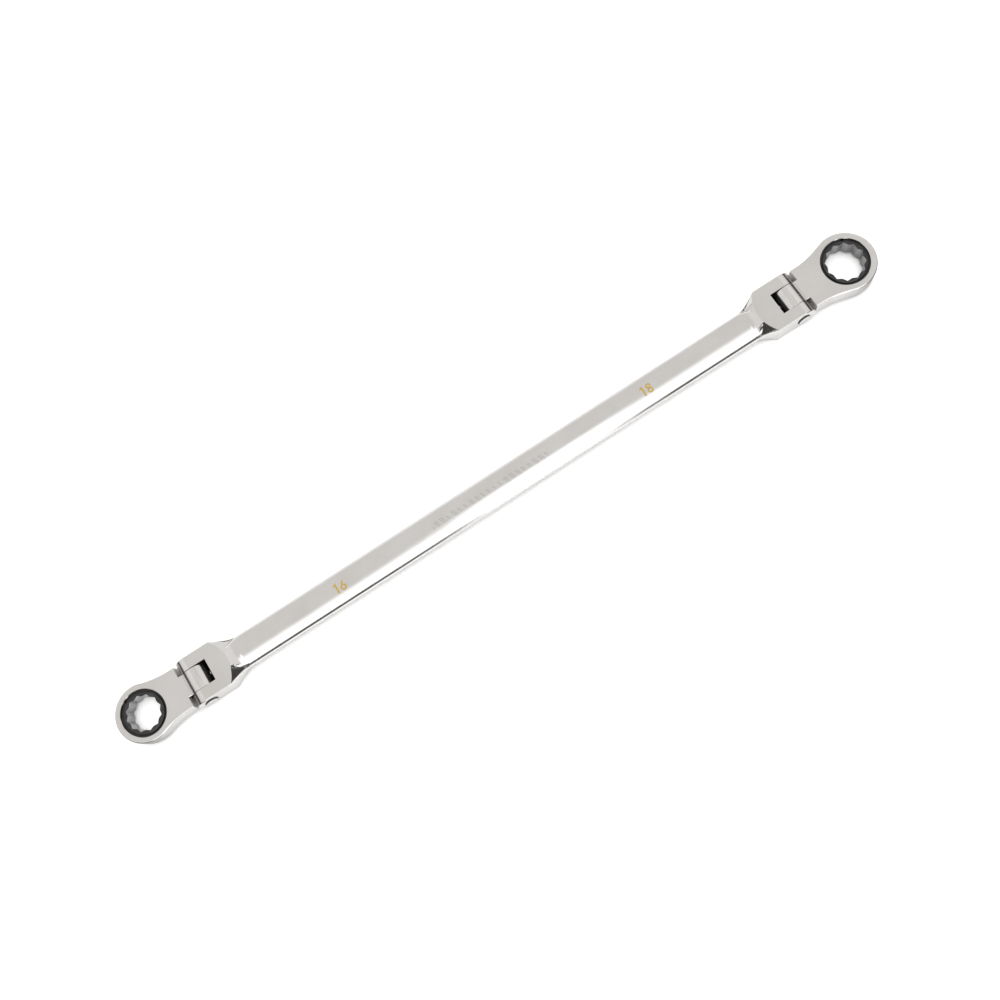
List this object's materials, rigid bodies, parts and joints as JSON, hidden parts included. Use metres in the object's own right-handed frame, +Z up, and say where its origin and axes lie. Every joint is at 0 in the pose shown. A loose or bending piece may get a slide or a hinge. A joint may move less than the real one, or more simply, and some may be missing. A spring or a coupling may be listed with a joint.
{
  "type": "ratchet wrench",
  "caption": "Long chrome double box-end ratchet wrench: an oval handle with a flexing head on a pinned yoke at each end, each head holding a black 12-point ratchet gear.",
  "frame": {"origin": "centre of the whole wrench with both heads straight, on the mid-plane of the heads", "axes": "+X along the wrench towards the 18 mm head, +Y across the handle along the hinge pins, +Z up through the heads"},
  "size_m": [0.45, 0.032, 0.0142],
  "materials": {
    "chrome_plate": "satin-bright chrome plate over forged steel",
    "black_oxide": "black oxide with a faint turned grain",
    "black_spring_steel": "phosphated black spring steel",
    "gold_paint": "paint filled into shallow size numerals",
    "pin_steel": "ground steel",
    "bearing_steel": "polished hardened steel",
    "spring_steel": "drawn spring wire",
    "pawl_steel": "hardened steel"
  },
  "bodies": {
    "handle": {"handle": "chrome_plate", "size_mark_16": "gold_paint", "size_mark_18": "gold_paint", "hinge_pin_16": "pin_steel", "hinge_pin_18": "pin_steel", "detent_ball_16": "bearing_steel", "detent_ball_18": "bearing_steel", "detent_spring_16": "spring_steel", "detent_spring_18": "spring_steel"},
    "head_16": {"head_16": "chrome_plate", "snap_ring_16": "black_spring_steel", "pawl_spring_16": "spring_steel"},
    "gear_16": {"ratchet_gear_16": "black_oxide"},
    "pawl_16": {"pawl_16": "pawl_steel"},
    "head_18": {"head_18": "chrome_plate", "snap_ring_18": "black_spring_steel", "pawl_spring_18": "spring_steel"},
    "gear_18": {"ratchet_gear_18": "black_oxide"},
    "pawl_18": {"pawl_18": "pawl_steel"}
  },
  "joints": [
    {"name": "flex_16", "type": "hinge", "parent": "handle", "child": "head_16", "pos_m": [-0.17895, 0, 0], "axis": [0, 1, 0], "range_deg": [-90, 90]},
    {"name": "ratchet_spin_16", "type": "hinge", "parent": "head_16", "child": "gear_16", "pos_m": [-0.2101, 0, 0], "axis": [0, 0, 1], "continuous": true},
    {"name": "pawl_slide_16", "type": "slide", "parent": "head_16", "child": "pawl_16", "axis": [1, 0, 0], "range_m": [0, 0.0009], "stiffness_N_per_m": 400, "springref_m": -0.002, "deforming": ["pawl_spring_16"]},
    {"name": "flex_18", "type": "hinge", "parent": "handle", "child": "head_18", "pos_m": [0.17555, 0, 0], "axis": [0, 1, 0], "range_deg": [-90, 90]},
    {"name": "ratchet_spin_18", "type": "hinge", "parent": "head_18", "child": "gear_18", "pos_m": [0.209, 0, 0], "axis": [0, 0, 1], "continuous": true},
    {"name": "pawl_slide_18", "type": "slide", "parent": "head_18", "child": "pawl_18", "axis": [-1, 0, 0], "range_m": [0, 0.0009], "stiffness_N_per_m": 400, "springref_m": -0.002, "deforming": ["pawl_spring_18"]}
  ]
}
